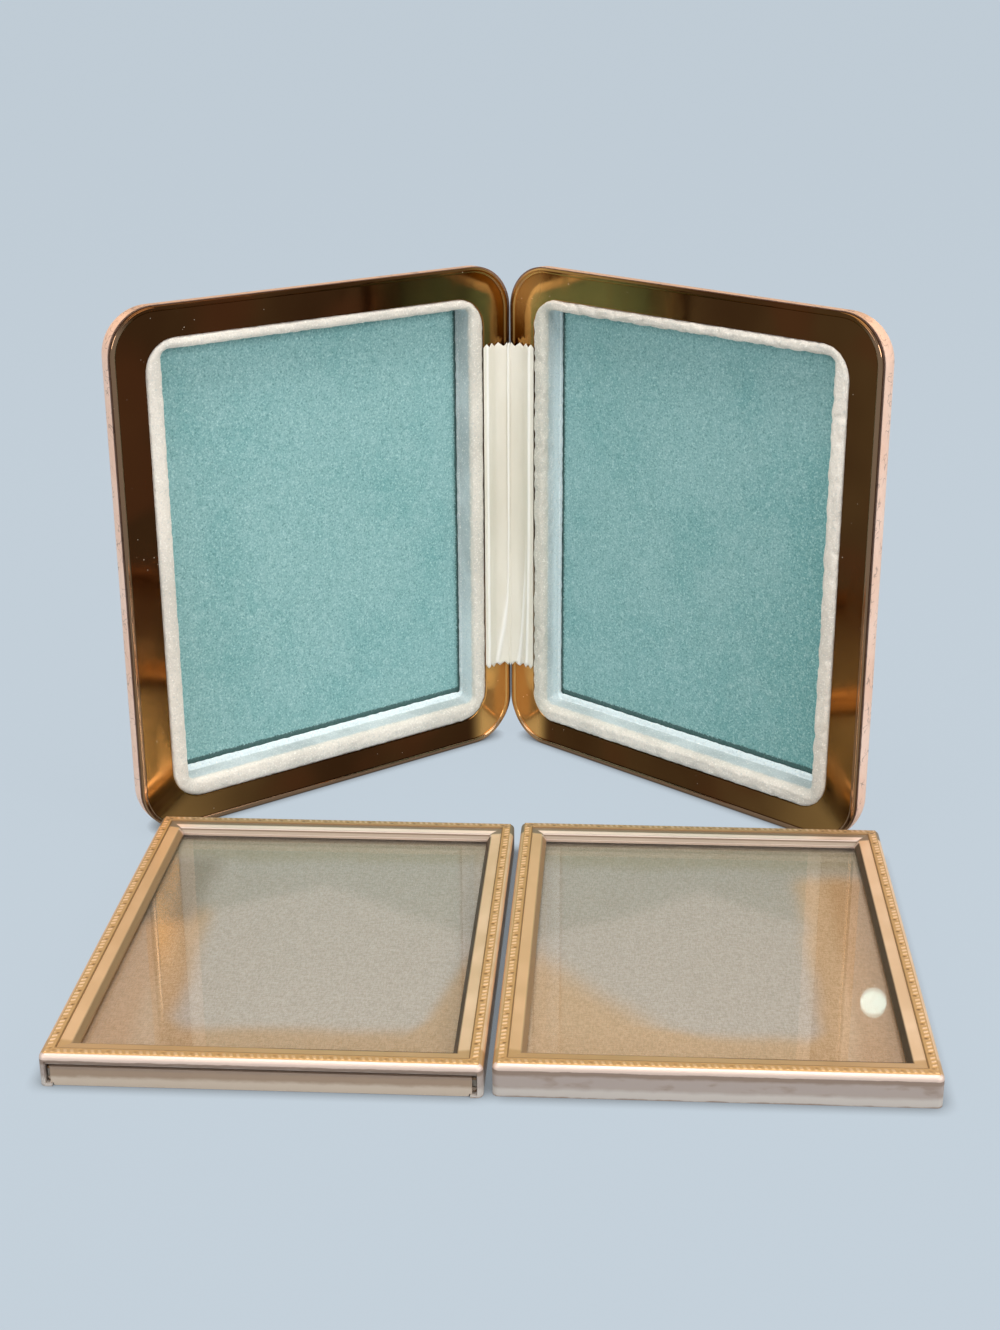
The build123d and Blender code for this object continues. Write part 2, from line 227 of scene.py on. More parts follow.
class Finish:
    """A material under construction. Lengths are in millimetres."""

    def __init__(self, name, tree=None):
        if tree is None:
            self.material = bpy.data.materials.new(name)
            self.material.use_nodes = True
            tree = self.material.node_tree
        self.tree = tree
        self.tree.nodes.clear()

    def node(self, kind, settings=None, sockets=None, output=0):
        """Adds a node, sets it up, fills its sockets and returns one of its outputs."""
        node = self.tree.nodes.new(kind)
        for key, value in (settings or {}).items():
            if key == "stops":
                self.set_stops(node.color_ramp, value)
            else:
                setattr(node, key, value)
        for key, value in (sockets or {}).items():
            if isinstance(value, Socket):
                self.tree.links.new(value.socket, node.inputs[key])
            else:
                node.inputs[key].default_value = value
        return Socket(self, node.outputs[output]) if len(node.outputs) else None

    @staticmethod
    def set_stops(ramp, stops):
        while len(ramp.elements) < len(stops):
            ramp.elements.new(1.0)
        for element, (position, colour) in zip(ramp.elements, stops):
            element.position = position
            element.color = (*colour, 1.0)

    def place(self, stretch=(1.0, 1.0, 1.0)):
        """The place on the piece, in millimetres, divided by a stretch along each axis."""
        at = self.node("ShaderNodeTexCoord", output="Object")
        scale = [1 / (MM * by) for by in stretch]
        return self.node("ShaderNodeVectorMath", {"operation": "MULTIPLY"}, {0: at, 1: scale})

    def axis(self, name):
        """One coordinate of the place on the piece, in millimetres."""
        return self.node("ShaderNodeSeparateXYZ", None, {0: self.place()}, name)

    def case_place(self):
        """How far from the hinge, how deep and how high in its case half a place is, in millimetres."""
        s, c = math.sin(HALF_OPENING), math.cos(HALF_OPENING)
        aside = (self.axis("X") - HINGE_AT[0] / MM).absolute()
        behind = self.axis("Y") - HINGE_AT[1] / MM
        return aside * s - behind * c, aside * c + behind * s, self.axis("Z")

    def frame_place(self, side):
        """How far across and along its frame a place is from the middle, how far in from the sides,
        and half the frame's width and length, in millimetres."""
        points = node_points(side + "_frame_bezel")[:, :2] @ FRAME_AXES.T / MM
        middle, half = ((points.max(0) + points.min(0)) / 2).tolist(), (np.ptp(points, 0) / 2).tolist()
        x, y = self.axis("X"), self.axis("Y")
        across, along = (toward[0] * x + toward[1] * y - at
                         for toward, at in zip(FRAME_AXES.tolist(), middle))
        inset = [reach - place.absolute() for reach, place in zip(half, (across, along))]
        return across, along, inset[0].math("MINIMUM", *inset), half

    def noise(self, size, detail=3.0, stretch=(1.0, 1.0, 1.0), roughness=0.5, distortion=0.0):
        sockets = {"Vector": self.place(stretch), "Scale": 1 / size, "Detail": detail,
                   "Roughness": roughness, "Distortion": distortion}
        return self.node("ShaderNodeTexNoise", None, sockets)

    def cells(self, size):
        """Distance from the nearest of many scattered points."""
        sockets = {"Vector": self.place(), "Scale": 1 / size}
        return self.node("ShaderNodeTexVoronoi", None, sockets, "Distance")

    def ribs(self, size, distortion):
        """Fine ribs, one above the other."""
        sockets = {"Vector": self.place(), "Scale": 1 / size, "Distortion": distortion,
                   "Detail": 1.0, "Detail Scale": 1.0}
        return self.node("ShaderNodeTexWave", {"bands_direction": "Z"}, sockets, "Fac")

    def attribute(self, name):
        """A number that the piece holds for each of its points."""
        return self.node("ShaderNodeAttribute", {"attribute_name": name}, None, "Fac")

    def right_half(self):
        """0 on the left half of the case and 1 on the right one."""
        return self.axis("X").span(-1.0, 1.0)

    def ramp(self, value, *stops):
        return self.node("ShaderNodeValToRGB", {"stops": stops}, {0: value})

    def mix(self, factor, first, second):
        """A colour between two colours."""
        colours = [value if isinstance(value, Socket) else (*value, 1.0) for value in (first, second)]
        sockets = {0: factor, 6: colours[0], 7: colours[1]}
        return self.node("ShaderNodeMix", {"data_type": "RGBA"}, sockets, 2)

    def bump(self, height, depth):
        sockets = {"Height": height, "Distance": depth * MM, "Strength": 1.0}
        return self.node("ShaderNodeBump", None, sockets)

    def principled(self, **sockets):
        named = {key.replace("_", " "): value for key, value in sockets.items()}
        for key in ("Base Color", "Sheen Tint", "Specular Tint"):
            if key in named and not isinstance(named[key], Socket):
                named[key] = (*named[key], 1.0)
        return self.node("ShaderNodeBsdfPrincipled", None, named)

    def show(self, shader):
        """Ends the material with this shader."""
        self.node("ShaderNodeOutputMaterial", None, {"Surface": shader})
        return self.material

    def surface(self, **sockets):
        """Ends the material with one plain shader."""
        return self.show(self.principled(**sockets))


def browned_brass(case):
    """Browned polished brass with dust and scratches; painted reflections lighten it low down, by the hinge
    and on its bead.
    """
    finish = Finish("browned_brass")
    across, depth, height = finish.case_place()
    cloud = finish.noise(22.0, 2.0, (1.0, 1.0, 1.5)) - 0.5
    right = finish.right_half()
    # Painted reflections: the brass is lighter beside the hinge, low down towards the outer side, along the
    # top near the hinge and on the right half; the cloud is uneven browning.
    painted_light_by_hinge = across.span(13.0, 6.0) * (0.3 + 0.8 * height.span(62.0, 18.0))
    reflection_by_corner = across.span(58.0, 96.0) * height.span(64.0, 18.0)
    reflection_by_top = across.span(62.0, 12.0) * height.span(96.0, 112.0)
    clean_and_reflection = (painted_light_by_hinge + (0.4 - 0.1 * right) * reflection_by_corner + (0.26 + 0.28 * right) * reflection_by_top
             + 0.09 * right + 0.3 * cloud)
    tone = finish.mix(clean_and_reflection.span(-0.05, 1.0), case.brass_dark, case.brass_clean_and_reflection)
    red = finish.noise(26.0, 1.0, (1.0, 1.0, 0.8)).span(0.5, 0.66)
    tone = tone.mix(0.5 * red * clean_and_reflection.span(0.5, 0.1), case.brass_red)
    # Painted reflection: the rolled bead is lighter, except along the top.
    bead = depth.span(0.60, 0.42) * height.span(115.0, 111.0) * across.span(1.5, 4.0)
    tone = tone.mix(0.8 * bead, case.brass_bead_reflection)
    scratch = finish.noise(0.9, 2.0, (4.0, 4.0, 22.0)).span(0.72, 0.78) * finish.noise(7.0).span(0.52, 0.6)
    dust = finish.cells(2.3).span(0.07, 0.03) * finish.noise(8.0).span(0.46, 0.6)
    marks = (0.3 * scratch + 0.7 * dust).span(0.0, 1.0)
    smear = finish.noise(5.0, 5.0, (1.0, 1.0, 2.5))
    return finish.surface(Base_Color=tone.mix(marks, case.brass_dust), Specular_Tint=case.brass_rake,
                          Metallic=1 - 0.8 * dust - 0.35 * clean_and_reflection.span(0.5, 1.0),
                          Roughness=0.08 + 0.14 * smear.span(0.45, 0.8) + 0.4 * marks,
                          Normal=finish.bump(finish.noise(11.0, 1.0), 0.02))


def leatherette(case):
    """Pale rose covering with a soft grain, fine dark squiggles, painted coppery sheen at its corners and
    painted shade by the rim.
    """
    finish = Finish("leatherette")
    _, depth, height = finish.case_place()
    wash = finish.noise(16.0, 2.0)
    colour = finish.mix(wash.span(0.2, 0.8), case.leather_warm, case.leather_pale)
    # Painted sheen: coppery near the top and bottom ends, close to the front edge, where the covering folds
    # round the corners.
    ends = height.span(106.0, 116.0) + height.span(10.0, 1.0)
    edge = depth.span(9.5, 5.0)
    colour = colour.mix(0.6 * ends * edge, case.leather_copper_and_sheen)
    colour = colour.mix(0.7 * height.span(114.5, 116.2), case.leather_brown)
    ripple = finish.noise(1.9, 0.0, (1.0, 1.0, 0.8), 0.5, 0.5) - 0.5
    thread = ripple.absolute().span(0.045, 0.02)
    ink = thread * finish.noise(3.4, 0.0).span(0.50, 0.60)
    grain = finish.noise(0.38, 3.0, roughness=0.6)
    pebble = finish.cells(0.6)
    colour = colour.mix(0.25 * grain.span(0.5, 0.34), case.leather_copper_and_sheen)
    colour = colour.mix(0.5 * ink, case.leather_vein_and_gap_shadow)
    # Painted shadow: a dark line along the front edge, in the gap where the covering meets the rim.
    colour = colour.mix(0.9 * depth.span(1.9, 1.4), case.leather_vein_and_gap_shadow)
    return finish.surface(Base_Color=colour, Roughness=0.45 + 0.2 * grain, Coat_Weight=0.1,
                          Coat_Roughness=0.35,
                          Normal=finish.bump(0.5 * grain - 0.7 * pebble - 0.5 * ink, 0.07))


def pile(finish, nap_height):
    """The lie of a short pile, its tufts and the relief that they make."""
    lie = finish.noise(15.0, 4.0, (1.0, 1.0, 1.3), 0.6)
    tuft = finish.noise(0.42, 3.0, roughness=0.7)
    brushed = finish.noise(1.1, 3.0, (0.9, 0.9, 1.2), 0.6, 0.8)
    return lie, tuft, brushed, finish.bump(tuft + 0.4 * brushed, nap_height)


def matt_pile(finish, shade, tip, relief, sheen_roughness):
    """Ends the material of a velvet, whose tips shine a little at a slant."""
    return finish.surface(Base_Color=shade, Roughness=0.9, Specular_IOR_Level=0.2, Sheen_Weight=0.25,
                          Sheen_Roughness=sheen_roughness, Sheen_Tint=tip, Normal=relief)


def pale_velvet(case):
    """Ivory velvet on the lips; painted shade and teal bounce light turn the walls greyer and bluer, with
    painted highlights on the foot roll.
    """
    finish = Finish("pale_velvet")
    across, depth, height = finish.case_place()
    lie, tuft, brushed, relief = pile(finish, 0.14)
    right = finish.right_half()
    lip = finish.mix(lie.span(0.35, 0.65), case.velvet_pale_deep, case.velvet_pale)
    painted_light_by_hinge = across.span(13.0, 9.5)
    # Painted shade on the lips beside the hinge, deeper on the right half.
    lip = lip.mix((0.2 + 0.4 * right) * painted_light_by_hinge, case.velvet_lip_shade)
    # The walls' grey-blue tones are painted shade with teal bounce light.
    wall = finish.mix(lie.span(0.35, 0.65), case.velvet_deep_tufts_and_wall_shade, case.velvet_wall_shade)
    # Painted light on the walls by the hinge: low down on the left half, towards the floor on the right.
    lit = right * depth.span(2.4, 5.0) + 0.6 * (1 - right) * height.span(52.0, 20.0)
    wall = wall.mix(lit * painted_light_by_hinge, case.velvet_roll_highlight)
    shade = finish.mix((depth + 1.0 * (brushed - 0.5)).span(1.3, 2.4), lip, wall)
    low_down = height.span(13.5, 12.4)
    # Painted highlight on the roll along the foot of the lower wall.
    shade = shade.mix(depth.span(5.55, 6.0) * low_down, case.velvet_roll_highlight)
    shade = shade.mix(0.75 * tuft.span(0.54, 0.70), case.velvet_pale_tip)
    shade = shade.mix(0.55 * tuft.span(0.46, 0.30), case.velvet_deep_tufts_and_wall_shade)
    return matt_pile(finish, shade, case.velvet_pale_tip, relief, 0.4)


def teal_velvet(case, low, high):
    """Teal velvet with a fine brushed pile, with painted shade along the edges of the well, in the seam at
    its foot and over the right floor away from the hinge.
    """
    finish = Finish("teal_velvet")
    across, _, height = finish.case_place()
    lie, tuft, brushed, relief = pile(finish, 0.08)
    right = finish.right_half()
    # Painted shade: the right floor darkens away from the hinge and low down; the lie of the pile varies at
    # random.
    worn = lie + 0.12 - 0.3 * right * (across + 0.6 * (60 - height)).span(40.0, 110.0)
    shade = finish.mix(worn.span(0.28, 0.72), case.velvet_teal_deep, case.velvet_teal)
    # Painted shade along the edges of the well.
    edge = (across.span(low[0] + 1.6, low[0]) + across.span(high[0] - 1.6, high[0])
            + height.span(low[1] + 1.6, low[1]) + height.span(high[1] - 2.4, high[1]))
    shade = shade.mix((0.6 * edge).span(0.0, 1.0), case.velvet_teal_dark_and_edge_shade)
    shade = shade.mix(0.35 * brushed.span(0.5, 0.7), case.velvet_teal_tip)
    shade = shade.mix(0.25 * brushed.span(0.48, 0.3), case.velvet_teal_dark_and_edge_shade)
    shade = shade.mix(0.85 * tuft.span(0.53, 0.68), case.velvet_teal_tip)
    shade = shade.mix(0.75 * tuft.span(0.47, 0.32), case.velvet_teal_dark_and_edge_shade)
    ragged = 1.2 * (tuft - 0.5)
    # Painted shade in the seam along the hinge side and the bottom of the floor.
    seam = ((across + ragged).span(low[0] + 0.65, low[0] + 0.2)
            + (height + ragged).span(low[1] + 1.15, low[1] + 0.7))
    shade = shade.mix((0.75 * seam).span(0.0, 1.0), case.velvet_teal_seam_shade)
    return matt_pile(finish, shade, case.velvet_teal_tip, relief, 0.45)


def satin(ribbon):
    """Ivory ribbon with a fine cross rib, a soft shine and a painted highlight on its ridges."""
    finish = Finish("ivory_satin")
    rib = finish.ribs(0.22, 0.6)
    age = finish.noise(12.0, 3.0, (1.0, 1.0, 3.0))
    colour = finish.mix(age.span(0.35, 0.7), ribbon.ribbon_shade, ribbon.ribbon_colour)
    # Painted highlight along the ribbon's narrow fold ridges.
    ridge = finish.attribute("ridge")
    colour = colour.mix(0.8 * ridge, ribbon.ribbon_ridge_highlight)
    return finish.surface(Base_Color=colour, Roughness=0.38 + 0.12 * rib, Sheen_Weight=0.25,
                          Specular_IOR_Level=0.45, Normal=finish.bump(rib, 0.012))


def gilt_brass(photo, side):
    """Stamped gilt brass: a plain strip, a bevel round the pane and walls with worn gilding, with painted
    shade, highlights and reflections.
    """
    finish = Finish(side + "_gilt_brass")
    across, along, inset, half = finish.frame_place(side)
    height = finish.axis("Z")
    wash = finish.noise(9.0, 3.0).span(0.35, 0.7)
    gold = finish.mix(wash, photo.gilt_deep, photo.gilt_colour)
    # Painted shade: the strip is darker tan on the left of each frame.
    gold = gold.mix(0.7 * across.span(0.0, -half[0]), photo.gilt_left_shade)
    gold = gold.mix(0.75 * (along + half[1]).span(6.0, 5.0), photo.gilt_ochre)
    # Painted reflection: the strip is darker at the far end, with a painted glare along its inner edge.
    far = half[1] - along
    mitre = (half[0] - across.absolute() - far).span(-0.1, 0.2)
    far_strip_reflection = finish.mix(mitre * far.span(3.5, 3.8), photo.gilt_far_reflection, photo.gilt_glare)
    gold = gold.mix(far.span(5.4, 4.8), far_strip_reflection)
    # Painted shade: the bevel is brown on the left of the pane and nearly black on the right.
    bevel = finish.mix(across.span(-5.0, 5.0), photo.bevel_left_shade, photo.bevel_right_shade)
    # Painted highlight and shade down the far bevel: pale at the top, a dark line, a browner foot and a
    # pale wall.
    far_bevel_light_and_shade = finish.ramp(far - 4.9, (0.06, photo.bevel_far), (0.14, photo.bevel_shade_line),
                            (0.24, photo.bevel_shade_line), (0.36, photo.bevel_foot), (0.64, photo.bevel_foot),
                            (0.69, photo.bevel_far))
    bevel = bevel.mix(far.span(6.6, 5.7), far_bevel_light_and_shade)
    gold = gold.mix(inset.span(4.5, 4.9), bevel)
    # Painted highlight: the near edge of each frame is paler.
    worn = (along + half[1]).span(1.3, 0.8)
    gold = gold.mix(worn, photo.gilt_near_highlight)
    drift = finish.noise(3.0, 4.0) - 0.5
    top = ((height + 0.4 * drift).span(5.05, 5.3) + inset.span(1.0, 1.4)).span(0.0, 1.0)
    # Painted shade at the walls' foot and under their top edge; between them, paler low down and browner
    # higher up.
    skin = finish.ramp(0.2 * (height + 0.7 * drift), (0.0, photo.patina_stain_and_shade), (0.06, photo.patina_pale),
                       (0.26, photo.patina_pale), (0.42, photo.patina_colour), (0.8, photo.patina_colour),
                       (0.9, photo.patina_stain_and_shade))
    smudge = finish.noise(3.6, 3.0, (1.5, 1.5, 0.6)).span(0.52, 0.72) * height.span(1.5, 2.3)
    skin = skin.mix(0.7 * smudge, photo.patina_stain_and_shade)
    return finish.surface(Base_Color=finish.mix(top, skin, gold), Metallic=0.2 + 0.5 * top,
                          Roughness=0.55 - 0.14 * top + 0.06 * wash + 0.12 * worn,
                          Normal=finish.bump(finish.noise(0.7, 4.0), 0.012))


def gilt_relief(photo, side):
    """Ochre gilding on the border, brown in hollows, with a painted highlight on the leaves and a painted
    reflection greying it at the far end.
    """
    finish = Finish(side + "_gilt_relief")
    _, along, _, half = finish.frame_place(side)
    relief = finish.attribute("relief")
    relief_tone = (relief + 0.3 * (finish.noise(1.4) - 0.5)).span(0.0, 1.0)
    # Painted highlight: the leaves are paler the higher they stand.
    gold = finish.ramp(relief_tone, (0.0, photo.gilt_hollow), (0.3, photo.gilt_ochre), (0.7, photo.gilt_ochre),
                       (1.0, photo.gilt_deep))
    gold = gold.mix(0.55 * (along + half[1]).span(3.0, 2.2), photo.gilt_ochre)
    # Painted reflection: greyer towards the far end.
    gold = gold.mix(0.35 * (half[1] - along).span(3.0, 2.2), photo.gilt_far_reflection)
    return finish.surface(Base_Color=gold, Metallic=0.6, Roughness=0.52 - 0.1 * relief_tone)


def back_lacquer(photo):
    """Beige lacquer on the frames' backs, browner towards the top of their end walls, with painted shade
    just under the bezel.
    """
    finish = Finish("back_lacquer")
    scuff = finish.noise(1.6, 5.0, (3.0, 3.0, 1.0), 0.7)
    height = finish.axis("Z") + 1.1 * (scuff - 0.5)
    colour = finish.mix(height.span(1.3, 2.3), photo.back_pale, photo.back_colour)
    # Painted shade: a dark band near the top of the end walls, under the bezel's edge.
    colour = colour.mix(0.8 * height.span(2.9, 3.7), photo.patina_stain_and_shade)
    return finish.surface(Base_Color=colour, Metallic=0.2, Roughness=0.5 + 0.2 * scuff,
                          Normal=finish.bump(scuff, 0.02))


def clear_glass(photo):
    """A pane that passes what is behind it and mirrors more at a slant, with faint smears."""
    finish = Finish("clear_glass")
    clear = finish.node("ShaderNodeBsdfTransparent", None, {"Color": (*photo.glass_colour, 1.0)})
    smear = finish.noise(14.0, 4.0, (1.0, 2.0, 1.0)).span(0.5, 0.8)
    gloss = finish.principled(Base_Color=photo.glass_shine, Metallic=1.0, Roughness=0.02 + 0.05 * smear)
    slant = finish.node("ShaderNodeLayerWeight", None, {"Blend": 0.5}, "Facing")
    head_on = 0.04
    mirror = head_on + (1 - head_on) * slant.math("POWER", slant, 5.0)
    shader = finish.node("ShaderNodeMixShader", None, {0: mirror, 1: clear, 2: gloss})
    return finish.show(shader)


def woven_card(photo, side):
    """Buff linen card, tan towards its outer side and near end, with a painted reflection that pales its
    middle and greys it beyond.
    """
    finish = Finish(side + "_buff_card")
    across, along, _, _ = finish.frame_place(side)
    outward = SIDES[side] * across
    drift = finish.noise(20.0, 3.0) - 0.5
    # Painted reflection: a pale middle with a greyer band beyond it.
    ridge = along + 0.65 * across.absolute() + 6.0 * drift
    colour = finish.mix(ridge.span(20.0, 26.0), photo.card_pale_reflection, photo.card_shaded)
    colour = colour.mix((along + 6.0 * drift).span(30.0, 37.0), photo.card_far)
    zones = {"left": (18.0, 4.0, photo.card_colour), "right": (36.0, 1.1, photo.card_light)}
    reach, slant, tan = zones[side]
    outer = (outward + 4.0 * drift).span(16.0, 23.0) * along.span(reach, reach - 12.0)
    inner = (along + slant * (33.0 + outward) + 4.0 * drift).span(6.0, -14.0)
    near = (along + 4.0 * drift).span(-28.0, -37.0)
    colour = colour.mix((outer + inner + near).span(0.0, 1.0), tan)
    deeper = 0.75 * outer * outward.span(23.0, 28.0) + 0.3 * near
    colour = colour.mix(deeper.span(0.0, 1.0), photo.card_deep)
    if side == "left":
        # Painted reflection: a dark patch near the left card's outer side.
        stain = outward.span(20.0, 26.0) * along.span(2.0, 10.0) * along.span(38.0, 29.0)
        colour = colour.mix(0.9 * stain, photo.card_dark_reflection)
    weft = finish.noise(0.75, 2.0, (0.4, 1.6, 1.0), 0.6)
    warp = finish.noise(0.75, 2.0, (1.6, 0.4, 1.0), 0.6)
    weave = (weft + warp).span(0.75, 1.25)
    colour = colour.mix(0.42 * (1 - weave), photo.card_far)
    colour = colour.mix(0.22 * weave, photo.card_thread)
    return finish.surface(Base_Color=colour, Roughness=0.75, Normal=finish.bump(weave, 0.02))


def plain_board(name, colour, fleck):
    """Grey or buff pasteboard with flecks."""
    finish = Finish(name)
    fibres = finish.noise(0.8, 5.0, (1.0, 1.0, 3.0), 0.7)
    shade = finish.mix(fibres.span(0.35, 0.75), colour, fleck)
    return finish.surface(Base_Color=shade, Roughness=0.9, Normal=finish.bump(fibres, 0.03))


def plain_metal(name, colour, stain, roughness):
    """Sheet or drawn metal with drawing marks and stains."""
    finish = Finish(name)
    marks = finish.noise(0.5, 3.0, (1.0, 1.0, 9.0))
    cloud = finish.noise(5.0, 4.0).span(0.45, 0.75)
    return finish.surface(Base_Color=finish.mix(0.7 * cloud, colour, stain), Metallic=1.0,
                          Roughness=roughness + 0.15 * marks + 0.1 * cloud,
                          Normal=finish.bump(marks, 0.01))


# Settings

def length(name, description, default_mm):
    """A length property, whose default is given in millimetres."""
    return FloatProperty(name=name, description=description, default=default_mm * MM, unit="LENGTH",
                         subtype="DISTANCE", precision=5)


def angle(name, description, default_degrees):
    """An angle property, whose default is given in degrees."""
    return FloatProperty(name=name, description=description, default=math.radians(default_degrees),
                         unit="ROTATION", subtype="ANGLE")


def tint(name, description, default):
    """A colour property."""
    return FloatVectorProperty(name=name, description=description, default=default, subtype="COLOR",
                               size=3, min=0.0, max=1.0)


class CaseSettings(bpy.types.PropertyGroup):
    """Sizes and colours of the clamshell case."""

    lip_hinge: length("Lip at the hinge", "Width of the velvet lip beside the hinge", 3.5)
    lip_outer: length("Lip at the outer side", "Width of the velvet lip away from the hinge", 3.9)
    lip_top: length("Lip at the top", "Width of the velvet lip along the top", 2.5)
    lip_bottom: length("Lip at the bottom", "Width of the velvet lip along the bottom", 4.1)
    lip_corner: length("Lip corner", "Radius of the lip's outer corners", 7.2)
    well_corner: length("Well corner", "Radius of the well's corners", 1.5)
    lip_back: length("Lip back", "Depth of the lip's back from the parting plane", 1.6)
    lip_crown: length("Lip crown", "Depth of the lip's highest line from the parting plane", 0.1)
    wall_cloth: length("Wall cloth", "Thickness of the velvet on the well's walls", 0.75)
    foot_roll: length("Foot roll", "Half the height of the velvet roll along the foot of the wall", 0.55)
    roll_bottom: length("Roll at the bottom", "How far that roll stands out from the lower wall", 1.35)
    roll_sides: length("Roll at the sides", "How far it stands out from the other walls", 0.25)
    nap: length("Nap", "Height of the velvet's unevenness", 0.14)
    puff: length("Puff", "The most that the padded lip swells or sinks", 0.3)
    velvet_pale: tint("Pale velvet", "Colour of the lips", (0.76, 0.69, 0.60))
    velvet_pale_deep: tint("Pale velvet, deep", "Deeper tone of the lips", (0.63, 0.575, 0.50))
    velvet_pale_tip: tint("Pale velvet, tips", "Colour of the pale tuft tips", (0.93, 0.90, 0.82))
    velvet_lip_shade: tint("Lips, shaded", "Tone of the lips beside the hinge", (0.52, 0.50, 0.42))
    # The wall tones are painted shade with teal bounce light; the deep one also darkens random tufts.
    velvet_wall_shade: tint("Wall velvet", "Colour of the wells' walls", (0.58, 0.63, 0.63))
    velvet_deep_tufts_and_wall_shade: tint("Wall velvet, deep", "Deeper tone of the walls", (0.42, 0.47, 0.47))
    # The roll colour is a painted highlight.
    velvet_roll_highlight: tint("Roll", "Colour of the roll along the foot of the walls", (0.76, 0.85, 0.87))
    velvet_teal: tint("Teal velvet", "Colour of the floors", (0.245, 0.435, 0.43))
    velvet_teal_deep: tint("Teal velvet, deep", "Deeper tone of the floors", (0.165, 0.365, 0.36))
    velvet_teal_tip: tint("Teal velvet, tips", "Colour of the floors' tuft tips", (0.44, 0.64, 0.62))
    # The seam colour is painted shade; the edge colour is painted shade along the edges and the dark of
    # random tufts.
    velvet_teal_seam_shade: tint("Teal velvet, seam", "Line where the floors meet the walls", (0.05, 0.095, 0.09))
    velvet_teal_dark_and_edge_shade: tint("Teal velvet, edges", "Colour along the edges of the floors", (0.09, 0.22, 0.21))
    brass_dark: tint("Brass, browned", "Darkest tone of the polished rims", (0.060, 0.022, 0.007))
    # The lighter rim tone is partly a painted reflection, and the bead tone is a painted reflection.
    brass_clean_and_reflection: tint("Brass, clean", "Lightest tone of the polished rims", (0.68, 0.35, 0.10))
    brass_rake: tint("Rims, raking", "Tint of the rims' shine at a slant", (0.45, 0.33, 0.24))
    brass_red: tint("Rims, red", "Reddish tone of the browned rims", (0.12, 0.033, 0.010))
    brass_bead_reflection: tint("Brass, bead", "Tone of the rims' rolled edge", (0.34, 0.20, 0.115))
    brass_dust: tint("Brass, dust", "Colour of dust and scratches on the rims", (0.70, 0.60, 0.48))
    leather_warm: tint("Covering, warm", "Warmer tone of the covering", (0.74, 0.46, 0.33))
    leather_pale: tint("Covering, pale", "Paler tone of the covering", (0.80, 0.57, 0.455))
    # The coppery tint is partly grain and partly a painted sheen round the corners.
    leather_copper_and_sheen: tint("Covering, coppery", "Tint of the covering round its corners", (0.66, 0.34, 0.16))
    leather_brown: tint("Covering, top edge", "Colour of the covering's top edge", (0.36, 0.19, 0.09))
    # The squiggle colour also paints the shadow line where the covering meets the rim.
    leather_vein_and_gap_shadow: tint("Covering, squiggles", "Colour of its fine squiggles", (0.10, 0.05, 0.035))


class RibbonSettings(bpy.types.PropertyGroup):
    """Sizes and colours of the ribbon over the hinge."""

    teeth: IntProperty(name="Teeth", description="Pinked teeth across each end", default=9, min=3)
    tooth: length("Tooth", "Depth of the pinked teeth", 0.9)
    thickness: length("Thickness", "Thickness of the ribbon", 0.25)
    reach: length("Reach", "Distance of its long edges from the hinge", 7.15)
    rest: length("Rest", "Depth of its long edges from the parting plane", 0.3)
    crest: length("Crest", "Height of the ridge over the hinge's barrel", 1.75)
    fold: length("Fold", "Height of the fold on each rim", 0.3)
    crease: length("Crease", "Height of the ridges along the ribbon", 0.28)
    ribbon_colour: tint("Ribbon", "Colour of the ribbon", (0.79, 0.735, 0.62))
    # The ridge colour is a painted highlight.
    ribbon_ridge_highlight: tint("Ribbon, ridges", "Colour of the ribbon on its ridges", (0.95, 0.92, 0.86))
    ribbon_shade: tint("Ribbon, aged", "Colour of the ribbon where it has yellowed", (0.71, 0.655, 0.535))


